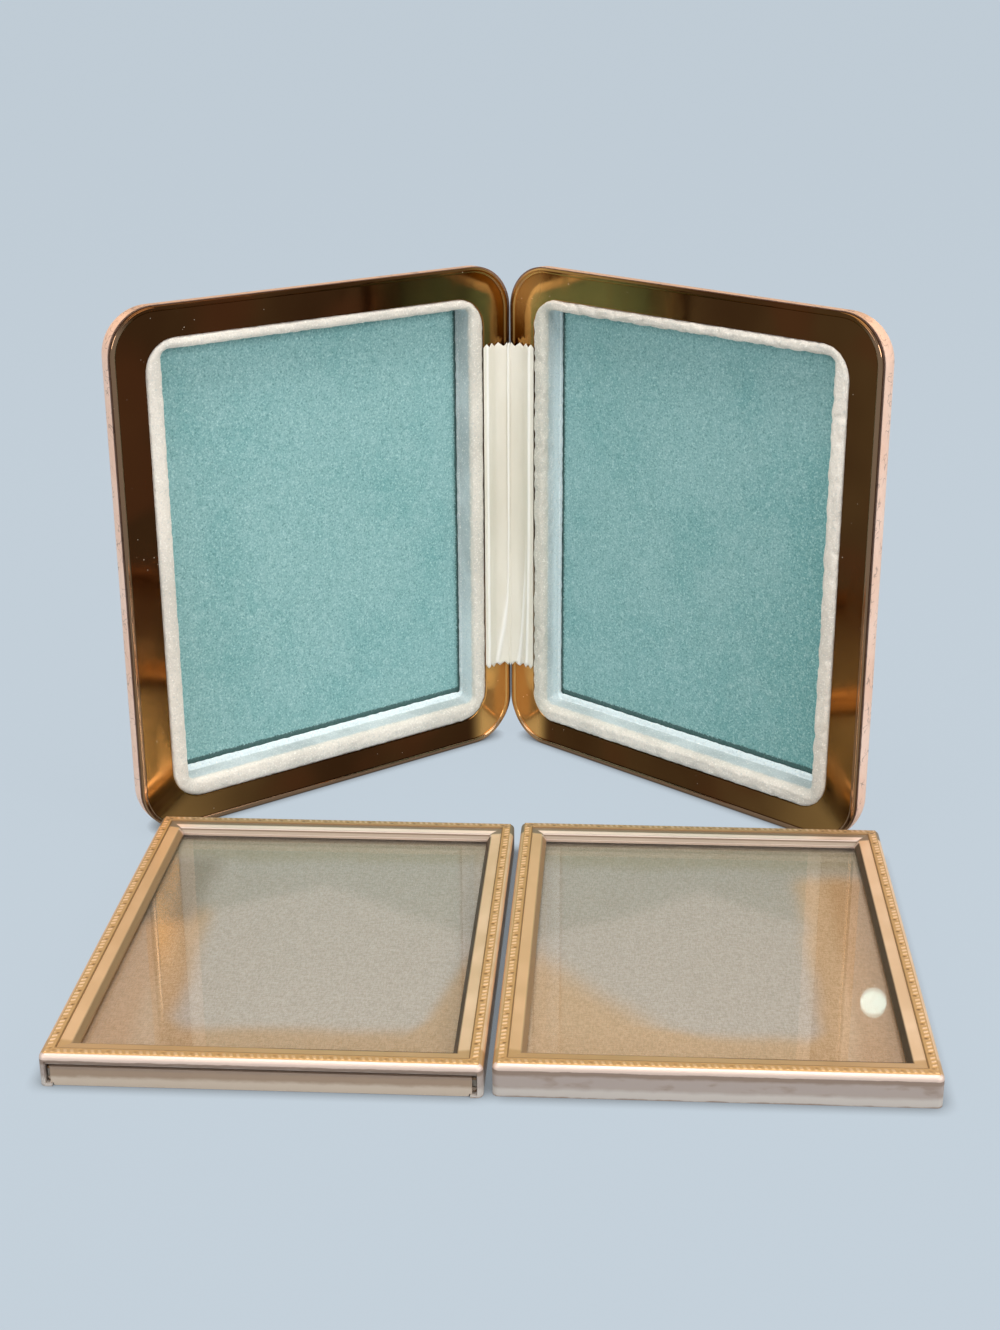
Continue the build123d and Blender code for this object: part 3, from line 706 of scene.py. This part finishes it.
class FrameSettings(bpy.types.PropertyGroup):
    """Sizes and colours of the two photo frames."""

    period: length("Spacing", "Distance from one punched hollow of the border to the next", 4.75)
    leaves: IntProperty(name="Leaves", description="Leaves from one hollow to the next", default=4, min=1)
    relief: length("Relief", "Height of the stamped border", 0.13)
    round: length("Rounding", "Radius of the bezels' outer edge", 1.0)
    edge: length("Plain edge", "Width of the rounded edge outside the border", 0.75)
    band: length("Band", "Width from the frame's side to the inner edge of the border", 2.6)
    hollow: length("Hollow", "Radius of the punched hollows", 0.4)
    gilt_colour: tint("Gilding", "Colour of the gilt brass", (0.93, 0.62, 0.38))
    gilt_deep: tint("Gilding, deep", "Deeper tone of the gilt brass", (0.86, 0.55, 0.31))
    # This tan is painted shade, and the far strip's colour a painted reflection.
    gilt_left_shade: tint("Gilding, tan", "Colour of the gilding on the left of each frame", (0.76, 0.43, 0.19))
    gilt_far_reflection: tint("Gilding, far", "Colour of the plain strip at the far end", (0.30, 0.215, 0.135))
    gilt_glare: tint("Gilding, glare", "Pale inner edge of that strip", (1.0, 0.755, 0.60))
    # This paler tone is a painted highlight along the near edges.
    gilt_near_highlight: tint("Gilding, worn", "Pale metal where the near edges are worn", (0.72, 0.545, 0.45))
    gilt_ochre: tint("Gilding, ochre", "Colour of the stamped border", (0.56, 0.31, 0.115))
    gilt_hollow: tint("Gilding, hollows", "Colour in the hollows of the border", (0.26, 0.135, 0.045))
    # The bevel tones are painted shade and highlight.
    bevel_left_shade: tint("Bevel, left", "Brown of the bevel on the left of each pane", (0.40, 0.235, 0.11))
    bevel_far: tint("Bevel, far", "Colour of the bevel at the far end of each pane", (0.74, 0.56, 0.46))
    bevel_shade_line: tint("Bevel, line", "Dark line below the edge of that bevel", (0.21, 0.14, 0.09))
    bevel_foot: tint("Bevel, foot", "Colour of that bevel towards the glass", (0.40, 0.30, 0.22))
    bevel_right_shade: tint("Bevel, right", "Brown of the bevel on the right of each pane", (0.085, 0.045, 0.018))
    patina_colour: tint("Worn wall", "Colour of the frames' worn walls", (0.36, 0.29, 0.25))
    patina_pale: tint("Worn wall, pale", "Palest tone of the worn walls", (0.49, 0.43, 0.38))
    # The stained tone also serves as painted shade on the walls and on the backs' end walls.
    patina_stain_and_shade: tint("Worn wall, stained", "Stains on the worn walls", (0.25, 0.175, 0.13))
    back_colour: tint("Back", "Colour of the lacquered backs", (0.31, 0.215, 0.145))
    back_pale: tint("Back, pale", "Palest tone of the lacquered backs", (0.50, 0.40, 0.31))
    glass_colour: tint("Glass", "Colour of the panes", (0.965, 0.975, 0.965))
    glass_shine: tint("Glass, shine", "Colour of what the panes mirror", (0.90, 0.90, 0.88))
    card_colour: tint("Card", "Colour of the buff card behind the glass", (0.43, 0.235, 0.105))
    card_far: tint("Card, far end", "Colour of the card at its far end", (0.265, 0.205, 0.13))
    # The next two colours are painted reflections: a greyer band and a dark patch.
    card_shaded: tint("Card, shaded", "Colour of the card beyond its faded middle", (0.335, 0.275, 0.235))
    card_dark_reflection: tint("Card, stain", "Stain near the left card's outer side", (0.14, 0.085, 0.045))
    card_thread: tint("Card, threads", "Colour of the card's pale threads", (0.62, 0.53, 0.46))
    card_deep: tint("Card, deep", "Deeper tan along the cards' outer sides", (0.40, 0.175, 0.04))
    card_light: tint("Card, light", "Lighter tan of the right card", (0.50, 0.28, 0.13))
    # This pale tone is a painted reflection.
    card_pale_reflection: tint("Card, faded", "Colour of the card where it has faded", (0.42, 0.335, 0.295))


class StageSettings(bpy.types.PropertyGroup):
    """Camera, floor and lights."""

    camera_at: FloatVectorProperty(
        name="Camera", description="Where the camera stands, from the hinge's foot", size=3,
        default=(0.0225, -0.4407, 0.1884), unit="LENGTH", subtype="TRANSLATION")
    pitch: angle("Pitch", "How far the camera looks down", 20.21)
    yaw: angle("Yaw", "How far the camera is turned to the right", -2.11)
    roll: angle("Roll", "How far the camera is tilted to the right", 0.09)
    focal_pixels: FloatProperty(
        name="Focal length", description="In pixels of the photograph", default=1920.9)
    centre_pixels: FloatVectorProperty(
        name="Optical centre", description="In pixels of the photograph, from its upper left corner",
        size=2, default=(536.0, 635.5))
    ground: tint("Ground", "Colour of the floor and the background", (0.539, 0.617, 0.687))
    contact: length("Contact", "Reach of the dark line where something stands on the ground", 3.0)
    contact_colour: tint("Contact shade", "Colour of that line", (0.03, 0.022, 0.016))
    shadow: FloatProperty(name="Shadow", description="Share of the floor's look that light and shadow make",
                          default=0.05, min=0.0, max=1.0, subtype="FACTOR")
    ambient: FloatProperty(name="Ambient", description="Strength of the even light", default=0.5, min=0.0)
    ambient_colour: tint("Ambient colour", "Colour of the even light", (1.0, 0.985, 0.96))


def settings(group):
    return getattr(bpy.context.scene, "photo_case_" + group)


# Case

class CASE_OT_shells(bpy.types.Operator):
    """Finish the covers, trays, rims, boards and hinge"""

    bl_idname = "photo_case.shells"
    bl_label = "Shells and hinge"

    def execute(self, context):
        case = settings("case")
        tray = plain_metal("tray_steel", (0.42, 0.40, 0.37), stain=(0.25, 0.19, 0.14), roughness=0.4)
        leaf = plain_metal("hinge_brass", (0.40, 0.25, 0.09), stain=(0.18, 0.10, 0.03), roughness=0.35)
        pin = plain_metal("pin_brass", (0.30, 0.18, 0.07), stain=(0.14, 0.08, 0.03), roughness=0.35)
        collar = plain_board("collar_card", (0.36, 0.31, 0.25), fleck=(0.48, 0.43, 0.36))
        floor = plain_board("floor_card", (0.33, 0.30, 0.26), fleck=(0.45, 0.41, 0.36))
        finish_nodes(leatherette(case), *both_sides("cover"))
        finish_nodes(browned_brass(case), *both_sides("rim"))
        finish_nodes(tray, *both_sides("tray"))
        finish_nodes(leaf, *both_sides("hinge_leaf"))
        finish_nodes(pin, "hinge_pin")
        finish_nodes(collar, *both_sides("collar_board"))
        finish_nodes(floor, *both_sides("floor_board"))
        return {"FINISHED"}


def rounded_loop(left, right, bottom, top, radius, side_steps, corner_steps):
    """Points round a rounded rectangle and the way out at each, with equal counts for any size."""
    points, outward = [], []
    corners = ((right, bottom, -90), (right, top, 0), (left, top, 90), (left, bottom, 180))
    inset = ((-1, 1), (-1, -1), (1, -1), (1, 1))
    arcs = []
    for (x, z, start), (sx, sz) in zip(corners, inset):
        turn = np.radians(start + 90 * np.arange(corner_steps + 1) / corner_steps)
        ray = np.stack([np.cos(turn), np.sin(turn)], 1)
        arcs.append((np.array([x + sx * radius, z + sz * radius]) + radius * ray, ray))
    for index, (arc, ray) in enumerate(arcs):
        points.append(arc)
        outward.append(ray)
        share = np.arange(1, side_steps)[:, None] / side_steps
        following = arcs[(index + 1) % len(arcs)][0][0]
        points.append(arc[-1] + share * (following - arc[-1]))
        outward.append(np.repeat(ray[-1:], side_steps - 1, 0))
    return np.concatenate(points), np.concatenate(outward)


def collar_section(case, floor):
    """Stations round the collar: share of the lip's width, share of the roll, reach behind, and depth."""
    lip, roll = np.linspace(0, math.pi, 17), np.linspace(-math.pi / 2, math.pi / 2, 9)
    rise = case.lip_back - case.lip_crown
    fullness = 0.62
    crown = [case.lip_crown + rise * (1 - math.sin(turn) ** fullness) for turn in lip]
    stations = [((1 - math.cos(turn)) / 2, 0.0, 0.0, depth) for turn, depth in zip(lip, crown)]
    wall = np.linspace(case.lip_back, floor - 2 * case.foot_roll, 9)
    stations += [(1.0, 0.0, 0.0, depth) for depth in wall[1:-1]]
    stations += [(1.0, math.cos(turn), 0.0, floor - case.foot_roll * (1 - math.sin(turn))) for turn in roll]
    stations += [(1.0, 0.0, case.wall_cloth, depth) for depth in np.linspace(floor, case.lip_back, 6)]
    return np.array(stations), len(lip)


def swell(piece, free, limit):
    """Fills a padded piece with air as cloth does, and keeps the points that aren't free where they are."""
    start = mesh_points(piece.data)
    # The cloth is worked out enlarged, since its springs are made for pieces the size of a garment.
    enlarge = 100.0
    set_points(piece.data, start * enlarge)
    held = piece.vertex_groups.new(name="held")
    held.add([int(index) for index in np.flatnonzero(~free)], 1.0, "REPLACE")
    cloth = piece.modifiers.new("Cloth", "CLOTH")
    velvet = {"vertex_group_mass": "held", "quality": 5, "mass": 0.3, "tension_stiffness": 12.0,
              "compression_stiffness": 12.0, "bending_stiffness": 0.4, "shrink_min": -0.035,
              "shrink_max": -0.035, "use_pressure": True, "uniform_pressure_force": 3.0}
    for key, value in velvet.items():
        setattr(cloth.settings, key, value)
    cloth.settings.effector_weights.gravity = 0.0
    cloth.collision_settings.use_collision = False
    steps = 20
    for step in range(1, steps + 1):
        bpy.context.scene.frame_set(step)
    apply_modifiers(piece)
    bpy.context.scene.frame_set(1)
    moved = mesh_points(piece.data) / enlarge - start
    far = np.linalg.norm(moved, axis=1)
    moved *= np.minimum(1.0, limit / np.maximum(far, 1e-9))[:, None]
    piece.vertex_groups.clear()
    set_points(piece.data, start + moved)


class CASE_OT_collars(bpy.types.Operator):
    """Make the padded velvet lips with their walls and the roll at the foot"""

    bl_idname = "photo_case.collars"
    bl_label = "Velvet collars"

    side_steps: IntProperty(name="Side steps", description="Points along each side", default=90, min=8)
    corner_steps: IntProperty(name="Corner steps", description="Points round a corner", default=10, min=4)
    tuft: length("Tuft", "Size of the velvet's unevenness", 1.1)

    def execute(self, context):
        case = settings("case")
        material = pale_velvet(case)
        for seed, side in enumerate(SIDES, 1):
            collar = self.collar(case, side, seed)
            finish_piece(collar, material, "case_" + side, [side + "_collar_velvet"])
        return {"FINISHED"}

    def collar(self, case, side, seed):
        low, high = case_box(side, side + "_collar_velvet")
        steps = self.side_steps, self.corner_steps
        outer, _ = rounded_loop(low[0], high[0], low[2], high[2], case.lip_corner, *steps)
        inner, outward = rounded_loop(low[0] + case.lip_hinge, high[0] - case.lip_outer,
                                      low[2] + case.lip_bottom, high[2] - case.lip_top,
                                      case.well_corner, *steps)
        stations, lip_count = collar_section(case, high[1])
        downward = np.clip(-outward[:, 1:], 0, 1)
        roll = case.roll_sides + (case.roll_bottom - case.roll_sides) * downward
        points = []
        for share, rolled, behind, depth in stations:
            ring = outer + share * (inner - outer) + (behind - rolled * roll) * outward
            points.append(np.stack([ring[:, 0], np.full(len(ring), depth), ring[:, 1]], 1))
        faces = grid_faces(len(stations), len(outer), wrap_rows=True, wrap_columns=True)
        name = side + "_velvet_collar"
        piece = new_piece(name, np.concatenate(points), faces, flip=side == "left")
        free = np.zeros((len(stations), len(outer)), bool)
        free[2:lip_count - 1] = True
        swell(piece, free.ravel(), case.puff)
        subdivide(piece, 1)
        swollen = mesh_points(piece.data)
        shut_gap = 0.3 * case.lip_crown
        swollen[:, 1] = np.maximum(swollen[:, 1], shut_gap)
        set_points(piece.data, from_case(side, swollen))
        roughen(piece, case.nap, self.tuft, seed)
        return piece


class CASE_OT_floors(bpy.types.Operator):
    """Lay the teal velvet on the floors of the wells"""

    bl_idname = "photo_case.floors"
    bl_label = "Velvet floors"

    spacing: length("Spacing", "Distance between the points of the velvet", 0.9)
    inset: length("Inset", "How far the velvet ends inside the floor's outline, under the collar", 2.6)
    wave: length("Wave", "Size of the velvet's unevenness", 7.0)

    def execute(self, context):
        case = settings("case")
        low, high = case_box("left", "left_collar_velvet")
        low = (low[[0, 2]] + (case.lip_hinge + case.roll_sides, case.lip_bottom + case.roll_bottom)) / MM
        high = (high[[0, 2]] - (case.lip_outer + case.roll_sides, case.lip_top + case.roll_sides)) / MM
        material = teal_velvet(case, low, high)
        for seed, side in enumerate(SIDES, 5):
            node = side + "_floor_velvet"
            low, high = case_box(side, node)
            low[[0, 2]] += self.inset
            high[[0, 2]] -= self.inset
            columns, rows = (int((high[axis] - low[axis]) / self.spacing) for axis in (0, 2))
            across, up = np.meshgrid(np.linspace(low[0], high[0], columns),
                                     np.linspace(low[2], high[2], rows))
            room = high[1] - low[1]
            face, cloth = low[1] + 0.1 * room, 0.7 * room
            depth = np.full(across.shape, face)
            points = np.stack([across, depth, up], 2).reshape(-1, 3)
            piece = new_piece(side + "_velvet_floor", from_case(side, points), grid_faces(rows, columns),
                              flip=side == "left")
            roughen(piece, 0.5 * case.nap, self.wave, seed)
            backing = piece.modifiers.new("Backing", "SOLIDIFY")
            backing.thickness, backing.offset = cloth, -1.0
            finish_piece(piece, material, "case_" + side, [node])
            high[0] - low[0]
            high[2] - low[2]
        return {"FINISHED"}


def smooth_line(corners, share):
    """Points at shares of the way along a smooth line through the corners."""
    padded = np.concatenate([2 * corners[:1] - corners[1:2], corners, 2 * corners[-1:] - corners[-2:-1]])
    at = share * (len(corners) - 1)
    index = np.minimum(at.astype(int), len(corners) - 2)
    t = (at - index)[:, None]
    p0, p1, p2, p3 = (padded[index + step] for step in range(4))
    return p1 + 0.5 * t * (p2 - p0 + t * (2 * p0 - 5 * p1 + 4 * p2 - p3 + t * (3 * (p1 - p2) + p3 - p0)))


class CASE_OT_ribbon(bpy.types.Operator):
    """Fold the pinked satin ribbon over the hinge"""

    bl_idname = "photo_case.ribbon"
    bl_label = "Hinge ribbon"

    rows: IntProperty(name="Rows", description="Points along the ribbon", default=120, min=20)
    tooth_steps: IntProperty(
        name="Tooth steps", description="Points across each tooth, an even count", default=16, min=4)

    def execute(self, context):
        ribbon = settings("ribbon")
        low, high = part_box("hinge_ribbon")
        columns = ribbon.teeth * self.tooth_steps + 1
        share = np.linspace(0, 1, columns)
        height = np.linspace(0, 1, self.rows)
        plan, normal = self.plan(ribbon, share)
        fold, ridge = self.folds(share, height)
        saw = ribbon.tooth * np.abs(((share * ribbon.teeth) % 1) * 2 - 1)
        fading = 12
        below, above = (np.exp(-fading * way)[:, None] * saw for way in (height, height[::-1]))
        up = low.z + height[:, None] * (high.z - low.z) + below - above
        flat = plan[None, :, :] + (ribbon.crease * fold)[:, :, None] * normal[None, :, :]
        points = np.concatenate([flat, up[:, :, None]], 2).reshape(-1, 3)
        piece = new_piece("satin_ribbon", points, grid_faces(self.rows, columns))
        # The ridge mask is kept for a painted highlight on the ribbon's ridges.
        set_attribute(piece, "ridge", ridge)
        weight = piece.modifiers.new("Thickness", "SOLIDIFY")
        weight.thickness, weight.offset = ribbon.thickness, 0.0
        apply_modifiers(piece)
        finish_piece(piece, satin(ribbon), stands_for=["hinge_ribbon"])
        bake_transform(piece)
        return {"FINISHED"}

    @staticmethod
    def plan(ribbon, share):
        """The ribbon's middle line from lip to lip, seen from above, and the way that its face looks."""
        stations = [(ribbon.reach, ribbon.rest),
                    (0.78 * ribbon.reach, ribbon.rest - ribbon.fold),
                    (0.5 * ribbon.reach, ribbon.rest),
                    (0.2 * ribbon.reach, ribbon.rest - 0.6 * ribbon.crest)]
        left, right = ([from_case(side, (across, depth, 0))[:2] for across, depth in stations]
                       for side in SIDES)
        ridge = [HINGE_AT[:2] - (0, ribbon.crest)]
        plan = smooth_line(np.array(left + ridge + right[::-1]), share)
        along = np.gradient(plan, axis=0)
        along /= np.linalg.norm(along, axis=1)[:, None]
        return plan, np.stack([along[:, 1], -along[:, 0]], 1)

    @staticmethod
    def folds(share, height):
        """Narrow ridges that lean over low down, and soft folds that die out at the long edges."""
        low = np.clip(1 - height / 0.5, 0, 1)[:, None] ** 1.7
        ridges = ((0.07, 0.0, 0.020), (0.47, -0.24, 0.024), (0.91, -0.05, 0.022), (0.86, -0.16, 0.02))
        sharp = [np.exp(-((share[None, :] - at - shift * low) / wide) ** 2) for at, shift, wide in ridges]
        # The last ridge shows only low down.
        sharp[3] = sharp[3] * np.clip(low * 3, 0, 1)
        edge = np.sin(math.pi * share)[None, :] ** 0.6
        sway = 0.1 * np.sin(2.1 * math.pi * height)[:, None]
        soft = np.sin(2 * math.pi * (3 * share[None, :] + sway) + 0.5)
        ridge = np.clip(sum(sharp), 0, 1)
        return ridge + 0.3 * edge * soft, ridge


# Frames

class FRAME_OT_bodies(bpy.types.Operator):
    """Finish the frames' bezels, glass, cards, fillers and backs"""

    bl_idname = "photo_case.frame_bodies"
    bl_label = "Frame bodies"

    def execute(self, context):
        photo = settings("frames")
        finish_nodes(clear_glass(photo), *both_sides("frame_glass"))
        for side in SIDES:
            finish_nodes(gilt_brass(photo, side), side + "_frame_bezel")
            finish_nodes(woven_card(photo, side), side + "_frame_card")
        filler = plain_board("filler_card", (0.40, 0.36, 0.30), fleck=(0.52, 0.48, 0.42))
        finish_nodes(filler, *both_sides("frame_filler"))
        finish_nodes(back_lacquer(photo), *both_sides("frame_back"))
        return {"FINISHED"}


def leaf_border(along, across, photo):
    """Height of the border, from 0 to 1, along and across the band: leaves with hollows here and there."""
    width = photo.band - photo.edge
    y = (across - photo.edge) / width
    lean = along * photo.leaves / photo.period + 0.5 * y
    ends = np.clip(y / 0.15, 0, 1) * np.clip((0.80 - y) / 0.25, 0, 1)
    leaf = np.abs(np.cos(math.pi * lean)) ** 0.8 * ends
    plain = 0.45 * np.clip((0.92 - y) / 0.08, 0, 1)
    from_hollow = ((along / photo.period) % 1.0 - 0.5) * photo.period
    from_middle = across - photo.edge - 0.5 * width
    pit = np.exp(-(from_hollow ** 2 + from_middle ** 2) / photo.hollow ** 2)
    return np.maximum(plain, leaf) * (1 - pit)


class FRAME_OT_ornament(bpy.types.Operator):
    """Stamp the border of small leaves on the bezels"""

    bl_idname = "photo_case.frame_ornament"
    bl_label = "Frame ornament"

    step: length("Step", "Distance between the points of the border", 0.13)
    rows: IntProperty(name="Rows", description="Points across the band", default=26, min=8)

    def execute(self, context):
        photo = settings("frames")
        for side, body in (("left", "left_frame"), ("right", "right_front")):
            piece = self.band(photo, side)
            finish_piece(piece, gilt_relief(photo, side), body)
        return {"FINISHED"}

    def band(self, photo, side):
        level = node_points(side + "_frame_bezel")
        top_z = level[:, 2].max()
        level = level[:, :2] @ FRAME_AXES.T
        low, high = level.min(0), level.max(0)
        size = high - low
        across = np.linspace(photo.edge, photo.band, self.rows)
        inside = np.clip(photo.round - across, 0, photo.round)
        fall = photo.round - np.sqrt(photo.round ** 2 - inside ** 2)
        corners = ((low[0], low[1]), (high[0], low[1]), (high[0], high[1]), (low[0], high[1]))
        directions = ((1, 0), (0, 1), (-1, 0), (0, -1))
        inward = ((0, 1), (-1, 0), (0, -1), (1, 0))
        base = 0.25
        top, relief = [], []
        for index, (corner, ahead, inner) in enumerate(zip(corners, directions, inward)):
            reach = size[index % 2]
            count = int(reach / self.step)
            share = np.arange(count)[:, None] / count
            along = across[None, :] + share * (reach - 2 * across[None, :])
            periods = round(reach / photo.period)
            height = leaf_border(along * periods * photo.period / reach, across[None, :], photo)
            plan = [corner[axis] + along * ahead[axis] + across[None, :] * inner[axis] for axis in (0, 1)]
            plan = np.stack(plan, 2) @ FRAME_AXES
            rise = top_z - fall + photo.relief * (base + height)
            top.append(np.concatenate([plan, rise[:, :, None]], 2))
            relief.append(height)
        top, relief = np.concatenate(top), np.concatenate(relief)
        columns = len(top)
        foot = top[:, [-1, 0]].copy()
        foot[:, :, 2] -= 3 * photo.relief
        points = np.concatenate([top, foot], 1)
        faces = grid_faces(columns, self.rows + 2, wrap_rows=True, wrap_columns=True)
        piece = new_piece(side + "_frame_ornament", points.reshape(-1, 3), faces, flip=True)
        heights = np.concatenate([relief, np.zeros((columns, 2))], 1)
        set_attribute(piece, "relief", heights)
        return piece


# Stage

class STAGE_OT_setup(bpy.types.Operator):
    """Set up the camera, the floor and the lights"""

    bl_idname = "photo_case.stage"
    bl_label = "Stage"

    photo_size = (1000, 1330)

    def execute(self, context):
        stage = settings("stage")
        self.camera(context.scene, stage)
        self.floor(stage)
        self.world(context.scene, stage)
        self.lamp("overhead", place=(0.02, -0.08, 0.75), target=(0.0, 0.0, 0.02), size=0.62, power=5.2)
        self.lamp("front_left", place=(-0.55, -0.62, 0.42), target=(0.0, 0.0, 0.05), size=0.34, power=2.1)
        self.lamp("front_right", place=(0.62, -0.50, 0.40), target=(0.0, 0.0, 0.05), size=0.30, power=3.2)
        self.lamp("glint", place=(0.1486, 0.4132, 0.2831), target=(0.072, -0.055, 0.004), size=0.0118,
                  power=0.0018, shape="DISK", colour=(0.72, 1.0, 0.98))
        context.scene.view_settings.view_transform = "Standard"
        return {"FINISHED"}

    def camera(self, scene, stage):
        sp, cp = math.sin(stage.pitch), math.cos(stage.pitch)
        sy, cy = math.sin(stage.yaw), math.cos(stage.yaw)
        ahead = Vector((sy * cp, cy * cp, -sp))
        right = Vector((cy, -sy, 0))
        up = right.cross(ahead)
        sr, cr = math.sin(stage.roll), math.cos(stage.roll)
        axes = Matrix((cr * right + sr * up, cr * up - sr * right, -ahead)).transposed()
        data = bpy.data.cameras.new("camera")
        longest = max(self.photo_size)
        data.sensor_width = 36.0
        data.lens = data.sensor_width * stage.focal_pixels / longest
        data.shift_x = (self.photo_size[0] / 2 - stage.centre_pixels[0]) / longest
        data.shift_y = (stage.centre_pixels[1] - self.photo_size[1] / 2) / longest
        data.clip_start, data.clip_end = 0.01, 50.0
        camera = bpy.data.objects.new("camera", data)
        camera.matrix_world = Matrix.Translation(Vector(HINGE_AT) + Vector(stage.camera_at)) @ axes.to_4x4()
        scene.collection.objects.link(camera)
        scene.camera = camera

    @staticmethod
    def seen(finish):
        """1 for what the camera sees straight, in metal or through glass."""
        kinds = [finish.node("ShaderNodeLightPath", output=kind)
                 for kind in ("Is Camera Ray", "Is Glossy Ray", "Is Transmission Ray")]
        return kinds[0].math("MINIMUM", kinds[0] + kinds[1] + kinds[2], 1.0)

    def floor(self, stage):
        reach = 8.0
        corners = [(-reach, -reach, 0), (reach, -reach, 0), (reach, reach, 0), (-reach, reach, 0)]
        floor = new_piece("floor", corners, [(0, 1, 2, 3)])
        finish = Finish("pale_ground")
        lit = finish.node("ShaderNodeBsdfDiffuse", None, {"Color": (*stage.ground, 1.0)})
        near = finish.node("ShaderNodeAmbientOcclusion", {"samples": 8}, {"Distance": stage.contact}, "AO")
        shade = finish.mix(near, stage.contact_colour, stage.ground)
        even = finish.node("ShaderNodeEmission", None, {"Color": shade, "Strength": 1.0})
        share = self.seen(finish) * (1 - stage.shadow)
        shader = finish.node("ShaderNodeMixShader", None, {0: share, 1: lit, 2: even})
        floor.data.materials.append(finish.show(shader))

    def world(self, scene, stage):
        world = bpy.data.worlds.new("soft_room")
        world.use_nodes = True
        scene.world = world
        finish = Finish("soft_room", world.node_tree)
        light = {"Color": (*stage.ambient_colour, 1.0), "Strength": stage.ambient}
        back = {"Color": (*stage.ground, 1.0), "Strength": 1.0}
        light, back = (finish.node("ShaderNodeBackground", None, sockets) for sockets in (light, back))
        mixed = finish.node("ShaderNodeMixShader", None, {0: self.seen(finish), 1: light, 2: back})
        finish.node("ShaderNodeOutputWorld", None, {"Surface": mixed})

    @staticmethod
    def lamp(name, place, target, size, power, shape="SQUARE", colour=(1.0, 1.0, 1.0)):
        data = bpy.data.lights.new(name, "AREA")
        data.shape, data.size, data.energy, data.color = shape, size, power, colour
        lamp = bpy.data.objects.new(name, data)
        lamp.location = place
        lamp.rotation_euler = (Vector(target) - Vector(place)).to_track_quat("-Z", "Y").to_euler()
        bpy.context.scene.collection.objects.link(lamp)


class VIEW3D_PT_photo_case(bpy.types.Panel):
    """Lists what makes the photo case"""

    bl_label = "Photo Case"
    bl_space_type = "VIEW_3D"
    bl_region_type = "UI"
    bl_category = "Photo Case"

    def draw(self, context):
        for operator in OPERATORS:
            self.layout.operator(operator.bl_idname)
        for group in SETTINGS:
            box = self.layout.box()
            box.label(text=group.title())
            for name in SETTINGS[group].__annotations__:
                box.prop(settings(group), name)


SETTINGS = {"case": CaseSettings, "ribbon": RibbonSettings, "frames": FrameSettings, "stage": StageSettings}
OPERATORS = (STAGE_OT_setup, CASE_OT_shells, CASE_OT_collars, CASE_OT_floors, CASE_OT_ribbon,
             FRAME_OT_bodies, FRAME_OT_ornament)


def register():
    for cls in (*SETTINGS.values(), *OPERATORS, VIEW3D_PT_photo_case):
        bpy.utils.register_class(cls)
    for name, group in SETTINGS.items():
        setattr(bpy.types.Scene, "photo_case_" + name, PointerProperty(type=group))


def unregister():
    for name in SETTINGS:
        delattr(bpy.types.Scene, "photo_case_" + name)
    for cls in (VIEW3D_PT_photo_case, *OPERATORS, *SETTINGS.values()):
        bpy.utils.unregister_class(cls)


def main():
    register()
    for operator in OPERATORS:
        group, name = operator.bl_idname.split(".")
        getattr(getattr(bpy.ops, group), name)()


if __name__ == "__main__":
    main()
